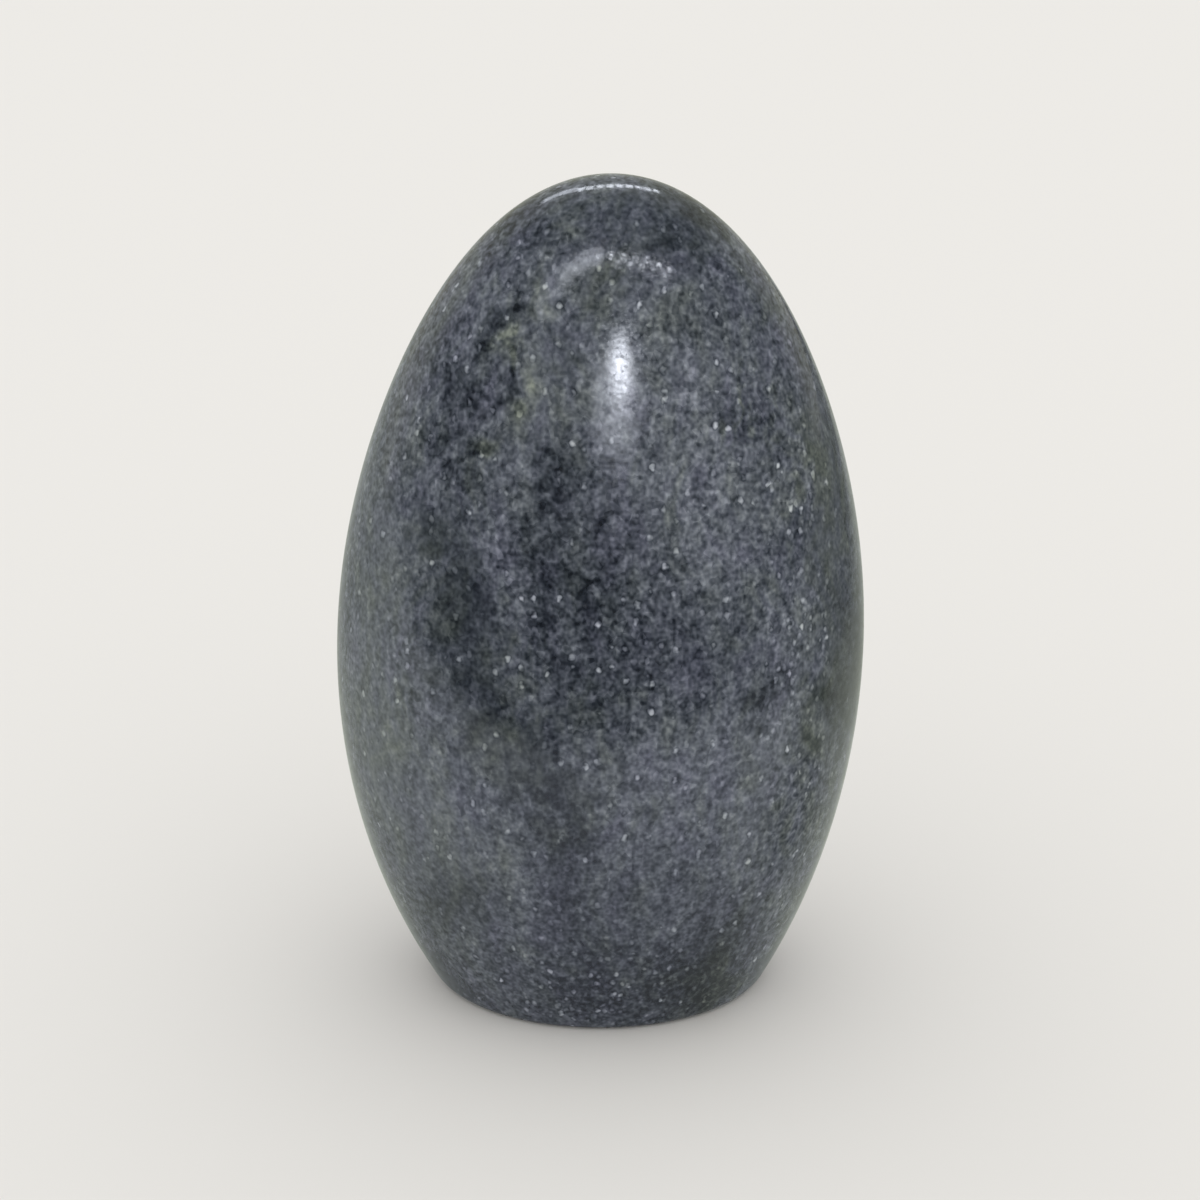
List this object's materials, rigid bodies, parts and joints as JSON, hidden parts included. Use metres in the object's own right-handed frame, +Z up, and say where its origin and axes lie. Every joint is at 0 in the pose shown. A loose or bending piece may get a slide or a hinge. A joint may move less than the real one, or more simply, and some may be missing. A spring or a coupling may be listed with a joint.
{
  "type": "polished freeform stone",
  "caption": "Upright polished freeform of dark blue-grey stone, egg-shaped with a slight lean, standing on a flat sawn base.",
  "frame": {"origin": "on the standing surface, under the middle of the stone's box", "axes": "+Z up, from the sawn base to the tip; +X to the right across the width; -Y out of the front"},
  "size_m": [0.078, 0.0564, 0.125],
  "materials": {
    "stone": "polished dark blue-grey lazulite quartzite with a fine mottled grain"
  },
  "bodies": {
    "root": {"stone": "stone"}
  },
  "joints": []
}
